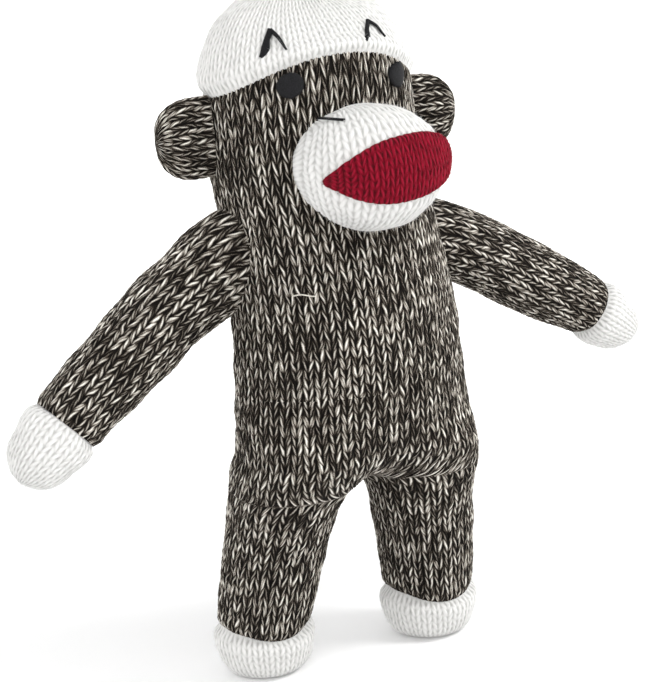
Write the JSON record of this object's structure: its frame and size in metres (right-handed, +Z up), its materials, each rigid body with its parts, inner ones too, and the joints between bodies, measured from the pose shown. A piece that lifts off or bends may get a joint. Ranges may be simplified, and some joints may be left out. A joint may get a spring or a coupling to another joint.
{
  "type": "stuffed sock monkey",
  "caption": "Stuffed toy monkey made of knitted tubes over loose filling, with a padded muzzle, round ears and hinged head, ears, arms and legs.",
  "frame": {"origin": "bottom centre of the toy's bounding box, on the surface it stands on", "axes": "+Z up, the face looks along -Y, the monkey's own left side is at +X"},
  "size_m": [0.2542, 0.1034, 0.2494],
  "materials": {
    "brown_knit": "chunky marl knit, brown and cream",
    "white_knit": "plain white knit, slightly fuzzy",
    "red_knit": "fine red knit",
    "black_thread": "black felt and embroidery thread",
    "filling": "loose polyester fibre"
  },
  "bodies": {
    "torso": {"torso_cover": "brown_knit", "torso_stuffing": "filling"},
    "head": {"head_cover": "brown_knit", "head_stuffing": "filling", "cap": "white_knit", "muzzle_cover": "white_knit", "muzzle_stuffing": "filling", "lip_patch": "red_knit", "nostril_stitch": "black_thread", "eye_left": "black_thread", "eye_right": "black_thread", "eyebrow_left": "black_thread", "eyebrow_right": "black_thread"},
    "ear_left": {"ear_left_cover": "brown_knit", "ear_left_padding": "filling"},
    "arm_left": {"arm_left_sleeve": "brown_knit", "arm_left_stuffing": "filling", "hand_left_cover": "white_knit"},
    "leg_left": {"leg_left_cover": "brown_knit", "leg_left_stuffing": "filling", "foot_left_cover": "white_knit"},
    "ear_right": {"ear_right_cover": "brown_knit", "ear_right_padding": "filling"},
    "arm_right": {"arm_right_sleeve": "brown_knit", "arm_right_stuffing": "filling", "hand_right_cover": "white_knit"},
    "leg_right": {"leg_right_cover": "brown_knit", "leg_right_stuffing": "filling", "foot_right_cover": "white_knit"}
  },
  "joints": [
    {"name": "neck_turn", "type": "hinge", "parent": "torso", "child": "head", "pos_m": [-0.00383, 0.01277, 0.1613], "axis": [0, 0, 1], "range_deg": [-30, 30], "stiffness_Nm_per_rad": 0.05},
    {"name": "shoulder_left_lift", "type": "hinge", "parent": "torso", "child": "arm_left", "pos_m": [0.04767, 0.01277, 0.1535], "axis": [0, -1, 0], "range_deg": [-24, 69], "stiffness_Nm_per_rad": 0.05},
    {"name": "shoulder_right_lift", "type": "hinge", "parent": "torso", "child": "arm_right", "pos_m": [-0.05533, 0.01277, 0.1555], "axis": [0, 1, 0], "range_deg": [-15, 78], "stiffness_Nm_per_rad": 0.05},
    {"name": "hip_left_swing", "type": "hinge", "parent": "torso", "child": "leg_left", "pos_m": [0.01807, 0.00677, 0.084], "axis": [-1, 0, 0], "range_deg": [-15, 90], "stiffness_Nm_per_rad": 0.15},
    {"name": "hip_right_swing", "type": "hinge", "parent": "torso", "child": "leg_right", "pos_m": [-0.02573, 0.00677, 0.084], "axis": [-1, 0, 0], "range_deg": [-15, 90], "stiffness_Nm_per_rad": 0.15},
    {"name": "ear_left_fold", "type": "hinge", "parent": "head", "child": "ear_left", "pos_m": [0.04017, 0.01877, 0.198], "axis": [0, 0, -1], "range_deg": [-35, 35], "stiffness_Nm_per_rad": 0.003},
    {"name": "ear_right_fold", "type": "hinge", "parent": "head", "child": "ear_right", "pos_m": [-0.04783, 0.01877, 0.198], "axis": [0, 0, 1], "range_deg": [-35, 35], "stiffness_Nm_per_rad": 0.003}
  ]
}
